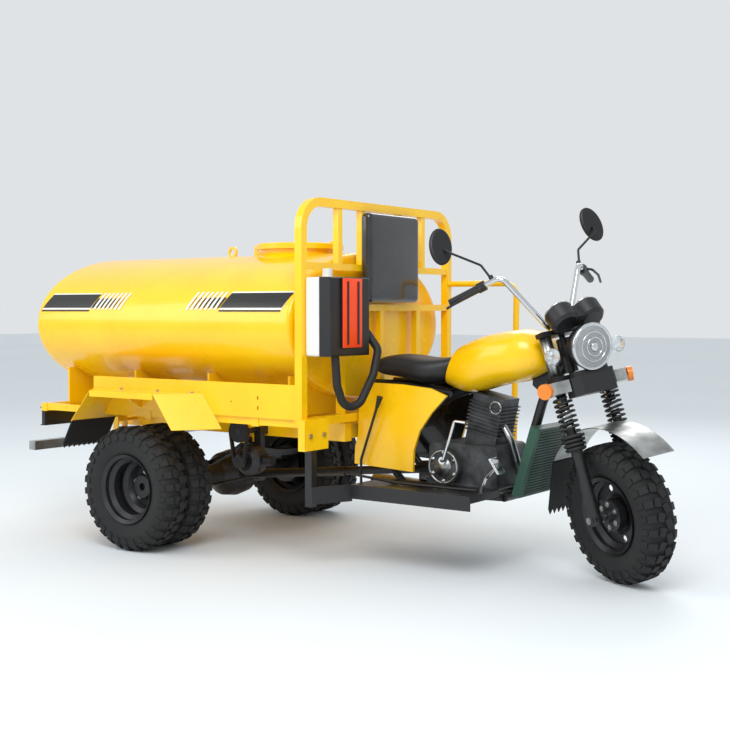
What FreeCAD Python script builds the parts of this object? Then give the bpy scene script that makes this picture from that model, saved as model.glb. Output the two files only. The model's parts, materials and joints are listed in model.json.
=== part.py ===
import FreeCAD, Part
import math
import os

V = FreeCAD.Vector
Rotation = FreeCAD.Rotation

# Water tanker tricycle, in millimetres. +X forward, +Y to its left, +Z up, floor at Z = 0.

# --- wheels and track -------------------------------------------------------------------
TYRE_R = 290.0
TYRE_WIDTH = 145.0
RIM_R = 152.0
WHEELBASE = 2140.0
FRONT_AXLE_X = 1417.0
REAR_AXLE_X = FRONT_AXLE_X - WHEELBASE
OUTER_TYRE_Y = 675.0
INNER_TYRE_Y = 510.0

# --- steering ---------------------------------------------------------------------------
RAKE = 17.8                 # degrees the steering axis leans back
AXLE_AHEAD = 50.0           # axle ahead of the steering axis
STEER_TURN = -29.4          # as it stands, the bars are turned to its right
FRONT_AXLE_Z = 294.6        # straight ahead; the raked axis lowers the wheel as it turns
FORK_Y = 119.0
FORK_LEG_R = 25.0
FORK_TUBE_R = 20.0
SHROUD_R = 24.0
CROWN_LOW = 600.0           # heights along the steering axis, from the axle
CROWN_HIGH = 770.0
SPRING_LOW = 352.0
SPRING_HIGH = 520.0
BAR_RISE = 1065.0

# --- tank and bed -----------------------------------------------------------------------
TANK_HALF_W = 600.0
TANK_HALF_H = 340.0
TANK_Z = 1050.0
TANK_FRONT_X = 147.0
TANK_REAR_X = -1493.0
TANK_REAR_DISH = 205.0
TANK_FRONT_DISH = 22.0
HATCH_X = -273.0
HATCH_R = 190.0
HATCH_WALL = 12.0
HATCH_WELL_Z = 1230.0
LID_R = 212.0
LID_Z = 1412.0
LID_THICK = 28.0
EYE_X = -709.0
BED_REAR_X = -1483.0
BED_HALF_W = 600.0
BED_LOW = 612.0
BED_Z = 650.0
RAIL_Y = 250.0
RAIL_LOW = 530.0
SKIRT_TOP_Z = 800.0
SKIRT_REAR_X = -1085.0

# --- headboard --------------------------------------------------------------------------
HEADBOARD_X = 199.0
HEADBOARD_TOP_Z = 1608.0
HEADBOARD_HALF_W = 608.0
HEADBOARD_BASE_Z = 657.0
POST = 38.0
BAR = 30.0
MID_BAR_Z = 1312.0
LOW_BAR_Z = 1132.0
CORNER_R = 120.0

# --- rider's place ----------------------------------------------------------------------
BOARD_Y_IN = 150.0
BOARD_Y_OUT = 400.0
BOARD_Z = 362.0
BOARD_DEPTH = 62.0
BOARD_REAR_X = 322.0
BOARD_FRONT_X = 925.0
COVER_Y = 205.0
BACKBONE_R = 24.0

BED_FRONT_X = 200.0
EYE_R = 17.0
STUB_R = 18.0
SPRING_Y = 370.0
SPRING_REAR_X = -1146.0
SPRING_FRONT_X = -300.0
SLOT_X = -35.0
SLOT_Z = (737.0, 693.0)
SLOT_R = 4.0
TANK_WALL = 6.0
HINGE_Z = LID_Z + 14.0
PUMP_X = -280.0
PUMP_HIGH_Z = 560.0
PUMP_LOW_Z = 425.0
CRADLE_Y = 110.0
HEAD_LOW = 612.0
HEAD_HIGH = 758.0


# --- helpers ----------------------------------------------------------------------------
def block(x0, x1, y0, y1, z0, z1):
    return Part.makeBox(x1 - x0, y1 - y0, z1 - z0, V(x0, y0, z0))


def rod(start, end, radius):
    along = V(*end) - V(*start)
    return Part.makeCylinder(radius, along.Length, V(*start), along)


def joined(*shapes):
    whole = shapes[0]
    for shape in shapes[1:]:
        whole = whole.fuse(shape)
    return whole.removeSplitter()


def apart(*shapes):
    return Part.makeCompound(list(shapes))


def mirrored(shape):
    return shape.mirror(V(0, 0, 0), V(0, 1, 0))


def sheet_y(outline, y0, y1):
    """A plate from an outline of (x, z) points, running from y0 to y1."""
    wire = Part.makePolygon([V(x, y0, z) for x, z in outline + outline[:1]])
    return Part.Face(wire).extrude(V(0, y1 - y0, 0))


def sheet_z(outline, z0, z1):
    """A plate from an outline of (x, y) points, running from z0 to z1."""
    wire = Part.makePolygon([V(x, y, z0) for x, y in outline + outline[:1]])
    return Part.Face(wire).extrude(V(0, 0, z1 - z0))


def plate(corners, thick):
    """A flat plate on a loop of corners, thickened to one side."""
    corners = [V(*c) for c in corners]
    face = Part.Face(Part.makePolygon(corners + corners[:1]))
    normal = (corners[1] - corners[0]).cross(corners[2] - corners[0]).normalize()
    return face.extrude(normal * thick)


def turned(profile, centre, axis):
    """Revolve (radius, height) points about an axis through centre."""
    axis = V(*axis).normalize()
    out = V(0, 1, 0).cross(axis) if abs(axis.y) < 0.9 else V(1, 0, 0)
    out = (out - axis * out.dot(axis)).normalize()
    centre = V(*centre)
    points = [centre + out * r + axis * h for r, h in profile]
    return Part.Face(Part.makePolygon(points + points[:1])).revolve(centre, axis, 360)


def bent_path(points, radius):
    """Straight runs through the points, joined by tangent arcs of the given radius."""
    points = [V(*p) for p in points]
    edges = []
    start = points[0]
    for before, corner, after in zip(points, points[1:], points[2:]):
        back = (before - corner).normalize()
        ahead = (after - corner).normalize()
        half_turn = (math.pi - back.getAngle(ahead)) / 2
        reach = radius * math.tan(half_turn)
        first = corner + back * reach
        last = corner + ahead * reach
        inward = (back + ahead).normalize()
        middle = corner + inward * (radius / math.cos(half_turn) - radius)
        edges.append(Part.LineSegment(start, first).toShape())
        edges.append(Part.Arc(first, middle, last).toShape())
        start = last
    edges.append(Part.LineSegment(start, points[-1]).toShape())
    return Part.Wire(edges)


def tube(points, radius, bend):
    """A round bar or hose bent through the points."""
    path = bent_path(points, bend)
    along = V(*points[1]) - V(*points[0])
    ring = Part.Wire(Part.makeCircle(radius, V(*points[0]), along))
    return path.makePipeShell([ring], True, False)


def square_tube(points, side, bend, up):
    """A square bar bent through the points; up is square to its first run."""
    path = bent_path(points, bend)
    start = V(*points[0])
    along = (V(*points[1]) - start).normalize()
    up = V(*up)
    across = along.cross(up)
    half = side / 2
    corners = [start + across * (i * half) + up * (j * half)
               for i, j in ((-1, -1), (1, -1), (1, 1), (-1, 1), (-1, -1))]
    return path.makePipeShell([Part.makePolygon(corners)], True, False)


def loft_x(sections, exponent):
    """A body through sections (x, half width, low z, high z), each a rounded rectangle."""
    wires = []
    for x, half_w, low, high in sections:
        points = []
        for i in range(16):
            turn = 2 * math.pi * (i + 0.5) / 16
            c, s = math.cos(turn), math.sin(turn)
            y = half_w * math.copysign(abs(c) ** (2 / exponent), c)
            z = (low + high) / 2 + (high - low) / 2 * math.copysign(abs(s) ** (2 / exponent), s)
            points.append(V(x, y, z))
        curve = Part.BSplineCurve()
        curve.interpolate(Points=points, PeriodicFlag=True)
        wires.append(Part.Wire(curve.toShape()))
    return Part.makeLoft(wires, True, False)

# --- wheels -----------------------------------------------------------------------------
def tyre(centre):
    shoulder = TYRE_WIDTH / 2
    profile = [(RIM_R, shoulder - 25), (RIM_R + 20, shoulder - 12), (RIM_R + 60, shoulder),
               (TYRE_R - 40, shoulder - 2), (TYRE_R - 12, shoulder - 12), (TYRE_R, shoulder - 32)]
    profile += [(r, -y) for r, y in reversed(profile)]
    return turned(profile, centre, (0, 1, 0))


def rim_barrel(centre):
    """Drop-centre steel rim, 5 to 6 mm thick, with its two bead flanges."""
    outer = [(RIM_R + 9, 60), (RIM_R - 2, 49), (RIM_R - 2, 30), (RIM_R - 22, 14)]
    inner = [(RIM_R + 9, 66), (RIM_R - 7, 53), (RIM_R - 8, 33), (RIM_R - 27, 17)]
    profile = outer + [(r, -y) for r, y in reversed(outer)]
    profile += [(r, -y) for r, y in inner] + [(r, y) for r, y in reversed(inner)]
    return turned(profile, centre, (0, 1, 0))


def front_wheel():
    centre = (AXLE_AHEAD, 0, 0)
    disc = turned([(28, 8), (70, 8), (90, -2), (128, -2), (128, -8), (88, -8), (68, 2), (28, 2)],
                  centre, (0, 1, 0))
    hub = turned([(8.1, -70), (26, -70), (30, -52), (66, -48), (66, -12), (40, -6), (34, 20),
                  (30, 70), (8.1, 70)], centre, (0, 1, 0))
    angles = [math.pi / 3 * (i + 0.5) for i in range(6)]
    windows = [Part.makeCylinder(14, 60, V(AXLE_AHEAD + 106 * math.cos(a), -30, 106 * math.sin(a)),
                                 V(0, 1, 0)) for a in angles]
    wheel = joined(rim_barrel(centre), disc, hub).cut(apart(*windows))
    return tyre(centre), wheel


def rear_wheels():
    """The right-hand twin wheels: two tyres, and their rims on one hub."""
    tyres = []
    rims = []
    for y, dish in ((OUTER_TYRE_Y, -1), (INNER_TYRE_Y, 1)):
        centre = (REAR_AXLE_X, -y, TYRE_R)
        tyres.append(tyre(centre))
        disc = [(30, 80), (95, 80), (110, 60), (128, 47), (147, 43), (147, 36), (125, 40),
                (105, 53), (90, 74), (30, 74)]
        disc = turned([(r, -dish * d) for r, d in disc], centre, (0, 1, 0))
        rims += [rim_barrel(centre), disc]
    middle = (REAR_AXLE_X, -(OUTER_TYRE_Y + INNER_TYRE_Y) / 2, TYRE_R)
    hub = turned([(STUB_R + 0.1, -40), (52, -40), (56, -12), (84, -4), (84, 12), (60, 20),
                  (60, 60), (100, 70), (100, 140), (92, 140), (92, 78), (40, 78), (40, 140),
                  (STUB_R + 0.1, 140)], middle, (0, 1, 0))
    return apart(*tyres), joined(*rims, hub)


# --- tank -------------------------------------------------------------------------------
def tank_form(inset):
    """The tank's form, dished at the back, nearly flat at the front, drawn in by inset."""
    r = TANK_HALF_H
    front = V(TANK_FRONT_X + TANK_FRONT_DISH, 0, 0)
    rear = V(TANK_REAR_X - TANK_REAR_DISH, 0, 0)
    knuckle_back = V(TANK_REAR_X - 78, 0, r - 58)
    straight_back = V(TANK_REAR_X + 10, 0, r)
    straight_front = V(TANK_FRONT_X - 24, 0, r)
    knuckle_front = V(TANK_FRONT_X, 0, r - 24)
    edges = [
        Part.LineSegment(front, rear).toShape(),
        Part.Arc(rear, V(TANK_REAR_X - 0.83 * TANK_REAR_DISH, 0, r * 0.45), knuckle_back).toShape(),
        Part.Arc(knuckle_back, V(TANK_REAR_X - 34, 0, r - 16), straight_back).toShape(),
        Part.LineSegment(straight_back, straight_front).toShape(),
        Part.Arc(straight_front, V(TANK_FRONT_X - 7, 0, r - 7), knuckle_front).toShape(),
        Part.Arc(knuckle_front, V(TANK_FRONT_X + 0.78 * TANK_FRONT_DISH, 0, r * 0.45), front).toShape(),
    ]
    form = Part.Face(Part.Wire(edges)).revolve(V(0, 0, 0), V(1, 0, 0), 360)
    widen = FreeCAD.Matrix()
    length = TANK_FRONT_X + TANK_FRONT_DISH - TANK_REAR_X + TANK_REAR_DISH
    middle = TANK_FRONT_X + TANK_FRONT_DISH - length / 2
    along = 1 - 2 * inset / length
    widen.scale(along, (TANK_HALF_W - inset) / r, (r - inset) / r)
    form = Part.Solid(form.transformGeometry(widen))
    form.translate(V(middle * (1 - along), 0, TANK_Z))
    return form


def tank_body(outer):
    """Sheet-steel shell with the filling well let into its top."""
    well = Part.makeCylinder(HATCH_R - HATCH_WALL, 400, V(HATCH_X, 0, HATCH_WELL_Z))
    around = Part.makeCylinder(HATCH_R, 400, V(HATCH_X, 0, HATCH_WELL_Z - TANK_WALL))
    return outer.cut(well).cut(tank_form(TANK_WALL).cut(around))


def hatch_neck(tank):
    ring = Part.makeCylinder(HATCH_R, LID_Z - 1300, V(HATCH_X, 0, 1300))
    ring = ring.fuse(Part.makeCone(HATCH_R + 26, HATCH_R, 26, V(HATCH_X, 0, 1366)))
    ring = ring.cut(Part.makeCylinder(HATCH_R - HATCH_WALL, 300, V(HATCH_X, 0, 1250))).cut(tank)
    ring = max(ring.Solids, key=lambda solid: solid.Volume)
    hinge_x = HATCH_X - LID_R - 22
    ears = [block(hinge_x - 14, HATCH_X - HATCH_R + 6, y - 4, y + 4, LID_Z - 34, LID_Z - 4)
            for y in (-52, 52)]
    pin = rod((hinge_x, -60, HINGE_Z), (hinge_x, 60, HINGE_Z), 5)
    ears += [block(hinge_x - 10, hinge_x + 10, y - 4, y + 4, LID_Z - 8, HINGE_Z + 12) for y in (-52, 52)]
    return joined(ring, *ears, pin)


def hatch_lid():
    low = LID_Z + 0.5
    disc = Part.makeCylinder(LID_R, LID_THICK, V(HATCH_X, 0, low))
    top_edge = [e for e in disc.Edges if e.BoundBox.ZMin > low + LID_THICK - 1]
    disc = disc.makeFillet(7, top_edge)
    hinge_x = HATCH_X - LID_R - 22
    arms = []
    for y in (-36, 36):
        arm = block(hinge_x, HATCH_X - LID_R + 25, y - 5, y + 5, HINGE_Z - 8, HINGE_Z + 8)
        eye = Part.makeCylinder(10, 10, V(hinge_x, y - 5, HINGE_Z), V(0, 1, 0))
        arms.append(arm.fuse(eye).cut(Part.makeCylinder(5.1, 12, V(hinge_x, y - 6, HINGE_Z), V(0, 1, 0))))
    latch = block(HATCH_X + LID_R - 20, HATCH_X + LID_R + 14, -14, 14, low + LID_THICK - 8, low + LID_THICK + 8)
    return joined(disc, *arms, latch)


def lifting_eye(tank):
    """Upright ring of bar for a sling hook."""
    at = V(EYE_X, -6, 1414)
    ring = Part.makeCylinder(28, 12, at, V(0, 1, 0)).cut(Part.makeCylinder(EYE_R, 12, at, V(0, 1, 0)))
    return joined(ring, block(EYE_X - 22, EYE_X + 22, -6, 6, 1380, 1394)).cut(tank)


def tank_saddles(tank):
    """Cradle plates between the bed and the tank."""
    plates = [block(x - 5, x + 5, -500, 500, BED_Z, 830) for x in (-1380, -900, -420, 60)]
    plates = [p.cut(tank) for p in plates]
    return apart(*[max(p.Solids, key=lambda s: s.Volume) for p in plates])


# --- chassis ----------------------------------------------------------------------------
def rear_frame():
    pieces = [block(BED_REAR_X, BED_FRONT_X, y - 25, y + 25, RAIL_LOW, BED_LOW) for y in (-RAIL_Y, RAIL_Y)]
    for x in (BED_REAR_X + 20, -1065, -723, -381, -60):
        pieces.append(block(x - 20, x + 20, 8 - BED_HALF_W, BED_HALF_W - 8, BED_LOW - 2, BED_Z))
    for y in (-576, 576):
        pieces.append(block(BED_REAR_X, HEADBOARD_X - POST / 2, y - 12, y + 12, BED_LOW + 4, BED_Z))
    for x in (BED_REAR_X + 20, -1065, -300, 170):
        pieces.append(block(x - 20, x + 20, -RAIL_Y, RAIL_Y, RAIL_LOW + 10, BED_LOW - 10))
    for x in (SPRING_REAR_X, SPRING_FRONT_X):
        for y in (-SPRING_Y, SPRING_Y):
            pieces.append(block(x - 18, x + 18, y - 32, y - 26, 505, 620))
            pieces.append(block(x - 18, x + 18, y + 26, y + 32, 505, 620))
            pieces.append(block(x - 18, x + 18, min(y, 0.6 * y) - 32, max(y, 0.6 * y) + 32, 560, 575))
            pieces.append(block(x - 18, x + 18, y - 32, y + 32, 575, 620))
    return joined(*pieces)


def side_skirt():
    """Folded bed side below the tank, on the right."""
    x1 = HEADBOARD_X - POST / 2 - 1
    y = -BED_HALF_W
    panel = joined(block(SKIRT_REAR_X, x1, y, y + 3, BED_Z, SKIRT_TOP_Z),
                   block(SKIRT_REAR_X, x1, y, y + 22, SKIRT_TOP_Z - 3, SKIRT_TOP_Z),
                   block(SKIRT_REAR_X, x1, y, y + 40, BED_Z, BED_Z + 3),
                   block(SKIRT_REAR_X, SKIRT_REAR_X + 3, y, y + 40, BED_Z, SKIRT_TOP_Z))
    for z in SLOT_Z:
        slot = joined(block(SLOT_X - SLOT_R, SLOT_X + SLOT_R, y - 5, y + 5, z - 5, z + 5),
                      rod((SLOT_X, y - 5, z - 5), (SLOT_X, y + 5, z - 5), SLOT_R),
                      rod((SLOT_X, y - 5, z + 5), (SLOT_X, y + 5, z + 5), SLOT_R))
        panel = panel.cut(slot)
    return panel.cut(rod((SLOT_X - 155, y - 5, 714), (SLOT_X - 155, y + 5, 714), SLOT_R))


def rear_fender():
    """Bent sheet over the right twin tyres: top, front flap, rear flap and lip."""
    y_in, y_out = -BED_HALF_W - 1, -780
    z = 744
    inner_rear, inner_front = (SKIRT_REAR_X, y_in, z), (-363, y_in, z)
    outer_front, outer_rear = (-500, y_out, z), (-912, y_out, z)
    thick = 3
    top = plate([inner_rear, inner_front, outer_front, outer_rear], thick)
    drop = V(116, 0, -156)
    front = plate([inner_front, tuple(V(*inner_front) + drop), tuple(V(*outer_front) + drop), outer_front],
                  thick)
    tilt = V(-132, 0, -150)
    rear = plate([outer_rear, (-912, y_in, z), tuple(V(-912, y_in, z) + tilt),
                  tuple(V(*outer_rear) + tilt)], thick)
    tuck = plate([tuple(V(-912, y_in - 2, z) + tilt * 0.62), tuple(V(-912, -470, z) + tilt * 0.62),
                  tuple(V(-912, -470, z) + tilt), tuple(V(-912, y_in - 2, z) + tilt)], thick)
    lip = block(-912, -500, y_out - 3, y_out, z - 26, z + 3)
    stay = plate([(-760, y_in + 0, z - 3), (-760, y_out + 30, z - 3), (-760, y_in, z - 84)], 4)
    return joined(top, front, rear, tuck, lip, stay)


def mud_flap():
    """Rubber flap with a toothed lower edge, below the right rear fender."""
    y0, y1 = -776, -500
    top = V(-1040, 0, 596)
    fall = V(-66, 0, -118)
    teeth = 9
    step = (y1 - y0) / teeth
    points = [top + V(0, y1, 0), top + V(0, y0, 0)]
    for i in range(teeth):
        points.append(top + fall + V(0, y0 + step * i, 0))
        points.append(top + fall * 1.16 + V(0, y0 + step * (i + 0.5), 0))
    points.append(top + fall + V(0, y1, 0))
    flap = Part.Face(Part.makePolygon(points + points[:1])).extrude(V(-5, 0, 3))
    return flap


def leaf_springs():
    """A pack of leaves each side, eye to eye under the rail hangers."""
    springs = []
    for y in (-SPRING_Y, SPRING_Y):
        pack = []
        for i in range(4):
            reach = 1 - 0.22 * i
            z_mid = 352 - 8 * i + 24
            half = (SPRING_FRONT_X - SPRING_REAR_X) / 2 * reach
            x_mid = (SPRING_FRONT_X + SPRING_REAR_X) / 2
            rise = 140 * reach ** 2
            arc = Part.Arc(V(x_mid - half, 0, z_mid + rise), V(x_mid, 0, z_mid),
                           V(x_mid + half, 0, z_mid + rise))
            low = Part.Arc(V(x_mid - half, 0, z_mid + rise - 8), V(x_mid, 0, z_mid - 8),
                           V(x_mid + half, 0, z_mid + rise - 8))
            loop = Part.Wire([arc.toShape(),
                              Part.LineSegment(arc.EndPoint, low.EndPoint).toShape(), low.toShape(),
                              Part.LineSegment(low.StartPoint, arc.StartPoint).toShape()])
            leaf = Part.Face(loop).extrude(V(0, 50, 0))
            leaf.translate(V(0, y - 25, 0))
            pack.append(leaf)
        for x in (SPRING_REAR_X, SPRING_FRONT_X):
            pack.append(rod((x, y - 25, 516), (x, y + 25, 516), 15))
            pack.append(block(x - 5, x + 5, y - 25, y + 25, 500, 520))
        pack.append(block(-723 - 45, -723 + 45, y - 25, y + 25, 322, 350))
        springs.append(joined(*pack))
    return apart(*springs)


def rear_axle():
    """Cast differential and axle tubes, drum back plates and stub shafts."""
    at = (REAR_AXLE_X, 0, TYRE_R)
    housing = turned([(0, -428), (34, -428), (38, -210), (62, -120), (108, -70), (118, 0), (108, 70),
                      (62, 120), (38, 210), (34, 428), (0, 428)], at, (0, 1, 0))
    nose = turned([(0, 0), (78, 0), (60, 90), (38, 150), (0, 150)], at, (1, 0, 0.05))
    pieces = [housing, nose]
    for side in (-1, 1):
        pieces.append(rod((at[0], side * 426, at[2]), (at[0], side * 610, at[2]), STUB_R))
        pieces.append(rod((at[0], side * 424, at[2]), (at[0], side * 434, at[2]), 98))
    return joined(*pieces)


def front_frame():
    """Head tube, backbone, down tube and engine cradle, welded to the bed's front."""
    head_low, head_high = steer_point(0, 0, HEAD_LOW), steer_point(0, 0, HEAD_HIGH)
    head = rod(head_low, head_high, 30)
    backbone = tube([(1150, 0, 922), (600, 0, 747), (330, 0, 590)], BACKBONE_R, 160)
    down = tube([(1160, 0, 906), (1050, 0, 740), (922, 0, 322)], 21, 110)
    cradle = [tube([(922, y, 322), (440, y, 312), (200, y, 560)], 17, 120) for y in (-CRADLE_Y, CRADLE_Y)]
    cross = [rod((922, -CRADLE_Y, 322), (922, CRADLE_Y, 322), 19),
             rod((560, -CRADLE_Y, 314), (560, CRADLE_Y, 314), 15)]
    seat_rails = [tube([(640, y, 752), (420, y, 790), (225, y, 792)], 14, 120) for y in (-85, 85)]
    seat_rails += [rod((425, -85, 788), (425, 85, 788), 12), rod((605, -85, 757), (605, 85, 757), 12)]
    posts = [tube([(300, y, 790), (240, y, 600), (180, y, 560)], 14, 60) for y in (-85, 85)]
    gusset = sheet_y([(1140, 905), (1122, 830), (1058, 752), (1000, 800), (1000, 872)], -4, 4)
    frame = joined(head, backbone, down, *cradle, *cross, *seat_rails, *posts, gusset)
    return frame.cut(rod(steer_point(0, 0, HEAD_LOW - 5), steer_point(0, 0, HEAD_HIGH + 5), 20))


def headboard():
    """Welded square-tube headboard with rounded top corners, and its base beam."""
    x = HEADBOARD_X
    side = HEADBOARD_HALF_W - POST / 2
    top = HEADBOARD_TOP_Z - POST / 2
    loop = square_tube([(x, -side, HEADBOARD_BASE_Z), (x, -side, top), (x, side, top),
                        (x, side, HEADBOARD_BASE_Z)], POST, CORNER_R, (1, 0, 0))
    h = BAR / 2
    inner = side - POST / 2 + 2
    bars = [block(x - h, x + h, -inner, inner, z - h, z + h) for z in (MID_BAR_Z, LOW_BAR_Z)]
    for y in (-326, -150, 150, 350):
        bars.append(block(x - h, x + h, y - h, y + h, MID_BAR_Z, top - POST / 2 + 2))
    for y in (-306, 0, 306):
        bars.append(block(x - h, x + h, y - h, y + h, HEADBOARD_BASE_Z, LOW_BAR_Z))
    beam = block(x - POST / 2, x + POST / 2, -HEADBOARD_HALF_W, HEADBOARD_HALF_W, 620, HEADBOARD_BASE_Z)
    corners = []
    for s in (-1, 1):
        y0, y1 = sorted((s * 632, s * 466))
        corners.append(block(x + POST / 2 - 1, x + POST / 2 + 34, y0, y1, 522, HEADBOARD_BASE_Z - 1))
    return joined(loop, *bars, beam, *corners)


def guard_rail():
    """Round rail beside the rider, on the left only."""
    x0 = HEADBOARD_X + POST / 2
    return tube([(x0, 590, 1251), (600, 590, 1251), (588, 590, 336), (588, 405, 330)], 15, 70)


def running_board():
    """Right foot board: folded plate, two arms to the cradle and a rear post."""
    y_in, y_out = -BOARD_Y_IN, -BOARD_Y_OUT
    x0, x1 = BOARD_REAR_X, BOARD_FRONT_X
    low = BOARD_Z - BOARD_DEPTH
    pieces = [block(x0, x1, y_out, y_in, BOARD_Z - 4, BOARD_Z),
              block(x0, x1, y_out, y_out + 4, low, BOARD_Z),
              block(x1 - 4, x1, y_out, y_in, BOARD_Z - 30, BOARD_Z),
              block(x0, x0 + 4, y_out, y_in, low, BOARD_Z)]
    for x in (400, 850):
        pieces.append(block(x - 15, x + 15, y_out + 3, -CRADLE_Y - 10, BOARD_Z - 48, BOARD_Z - 3))
    pieces.append(block(205, 241, -571, -535, 275, 620))
    pieces.append(sheet_z([(238, -571), (244, -571), (x0 + 3, y_out + 2), (x0 + 3, y_out + 10)],
                          low - 12, BOARD_Z))
    return joined(*pieces)


def engine():
    """Crankcase, cylinder and head as plain blocks of the real size."""
    case = block(560, 900, -135, 135, 345, 540)
    case = case.makeFillet(28, [e for e in case.Edges if abs(e.Length - 270) < 1])
    cylinder = block(-75, 75, -72, 72, 0, 235)
    cylinder.Placement = FreeCAD.Placement(V(775, 0, 520), Rotation(V(0, 1, 0), 12))
    covers = [rod((655, s * 130, 440), (655, s * 172, 440), 78) for s in (-1, 1)]
    return joined(case, cylinder, *covers)


def radiator():
    """Core between two side tanks, leaning forward in front of the down tube."""
    core = block(0, 34, -128, 128, 12, 294)
    tanks = [block(-2, 38, y, y + 26, 0, 306) for y in (-152, 126)]
    plates = [block(-2, 38, -128, 128, z, z + 12) for z in (0, 294)]
    arms = [block(-36, 0, -8, 8, z, z + 20) for z in (60, 240)]
    whole = joined(core, *tanks, *plates, *arms)
    whole.Placement = FreeCAD.Placement(V(983, 0, 344), Rotation(V(0, 1, 0), 16.5))
    return whole


SEAT_JOINT = ((606, 788), (663, 937))


def seat_side(x_shift, ahead):
    """Everything ahead of (or behind) the slanted joint between seat and fuel tank."""
    (x0, z0), (x1, z1) = SEAT_JOINT
    lean = (x1 - x0) / (z1 - z0)
    far = 2000 if ahead else -2000
    a, b = x0 + x_shift + lean * (600 - z0), x0 + x_shift + lean * (1200 - z0)
    return sheet_y([(a, 600), (b, 1200), (far, 1200), (far, 600)], -400, 400)


def fuel_tank():
    body = loft_x([(560, 88, 792, 880), (640, 112, 775, 948), (733, 138, 762, 992),
                   (820, 152, 784, 1018), (915, 157, 806, 1034), (1004, 150, 826, 1036),
                   (1062, 122, 850, 1004), (1100, 78, 872, 952), (1118, 30, 888, 925)], 2.6)
    body = body.cut(seat_side(2, False))
    tunnel = sheet_y([(500, 600), (500, 755), (1140, 958), (1140, 600)], -34, 34)
    return body.cut(tunnel)


def seat():
    body = loft_x([(268, 130, 836, 898), (285, 148, 828, 908), (340, 152, 822, 916),
                   (450, 146, 804, 906), (560, 126, 798, 904), (700, 100, 798, 955)], 3.2)
    return body.cut(seat_side(-2, True))


def side_cover():
    outline = [(302, 796), (228, 688), (222, 560), (206, 500), (203, 425), (518, 410), (523, 505),
               (552, 590), (615, 675), (690, 752), (606, 782), (461, 794)]
    panel = sheet_y(outline, -COVER_Y, -COVER_Y + 14)
    return panel


def backrest():
    x0 = HEADBOARD_X + BAR / 2 + 1
    pad = block(x0, x0 + 52, -176, 238, 1155, 1562)
    return pad.makeFillet(14, pad.Edges)


def expansion_tank():
    """White water bottle on the headboard, with its cap."""
    x0 = HEADBOARD_X + POST / 2 + 0.5
    body = block(x0, 296, -587, -303, 925, 1262)
    body = body.makeFillet(12, body.Edges)
    return joined(body, rod((262, -485, 1255), (262, -485, 1300), 22))


def air_cleaner():
    """Black box with a raised centre panel, in front of the bottle."""
    body = block(296.5, 358, -587, -303, 925, 1262)
    body = body.makeFillet(9, [e for e in body.Edges if e.BoundBox.XMin > 350])
    panel = block(356, 366, -517, -375, 960, 1259)
    return joined(body, panel)


def air_hoses():
    """Thick hose looped from under the black box to the bottle's inner side."""
    return tube([(330, -520, 925), (334, -512, 800), (344, -470, 690), (376, -400, 722),
                 (398, -335, 840), (380, -272, 950), (310, -268, 1030), (262, -302, 1060)], 18, 55)


def silencer():
    """Exhaust pipe and silencer along the left of the cradle."""
    pipe = tube([(850, -20, 640), (905, -20, 560), (905, 60, 420), (800, 150, 300), (480, 160, 262)], 17, 45)
    can = rod((500, 160, 263), (60, 170, 285), 48)
    return joined(pipe, can)


def prop_shaft():
    shaft = rod((-565, 0, 298), (470, 0, 400), 20)
    yokes = [rod((-568, 0, 297), (-520, 0, 302), 38), rod((440, 0, 397), (556, 0, 408), 38)]
    return joined(shaft, *yokes)


def water_pump():
    """Belt-driven pump and its intermediate shaft, hung under the right rail."""
    body = turned([(0, -60), (48, -60), (72, -36), (72, 20), (40, 34), (40, 60), (0, 60)],
                  (PUMP_X, -350, PUMP_LOW_Z), (0, 1, 0))
    shaft = rod((PUMP_X, -400, PUMP_LOW_Z), (PUMP_X, -455, PUMP_LOW_Z), 9)
    upper = rod((PUMP_X, -295, PUMP_HIGH_Z), (PUMP_X, -455, PUMP_HIGH_Z), 12)
    carrier = block(PUMP_X - 30, PUMP_X + 30, -330, -300, PUMP_LOW_Z + 40, RAIL_LOW + 60)
    arm = block(PUMP_X - 30, PUMP_X + 30, -330, -RAIL_Y - 20, RAIL_LOW + 10, RAIL_LOW + 50)
    outlet = rod((PUMP_X + 60, -350, PUMP_LOW_Z), (PUMP_X + 120, -350, PUMP_LOW_Z), 24)
    return joined(body, shaft, upper, carrier, arm, outlet)


def pump_belt():
    """Two pulleys and the V-belt round them."""
    y0, y1 = -456, -436
    high, low = V(PUMP_X, y0, PUMP_HIGH_Z), V(PUMP_X, y0, PUMP_LOW_Z)
    big, small = 56.0, 34.0
    lean = math.asin((big - small) / (PUMP_HIGH_Z - PUMP_LOW_Z))
    c, s = math.cos(lean), math.sin(lean)

    def loop(grow):
        b, m = big + grow, small + grow
        edges = [Part.Arc(high + V(-b * c, 0, -b * s), high + V(0, 0, b), high + V(b * c, 0, -b * s)),
                 Part.LineSegment(high + V(b * c, 0, -b * s), low + V(m * c, 0, -m * s)),
                 Part.Arc(low + V(m * c, 0, -m * s), low + V(0, 0, -m), low + V(-m * c, 0, -m * s)),
                 Part.LineSegment(low + V(-m * c, 0, -m * s), high + V(-b * c, 0, -b * s))]
        return Part.Face(Part.Wire([e.toShape() for e in edges])).extrude(V(0, y1 - y0, 0))
    belt = loop(0).cut(loop(-9))
    pulleys = [turned([(r1, 0), (r - 7, 0), (r - 7, 20), (r1, 20)], at, (0, 1, 0))
               for r, r1, at in ((big, 12.1, high), (small, 9.1, low))]
    return joined(belt, *pulleys)


def brake_rods():
    return apart(tube([(-640, -330, 262), (-300, -330, 340), (240, -330, 392)], 6, 90),
                 tube([(250, -300, 392), (500, -300, 372), (900, -300, 372)], 6, 90))


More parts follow.
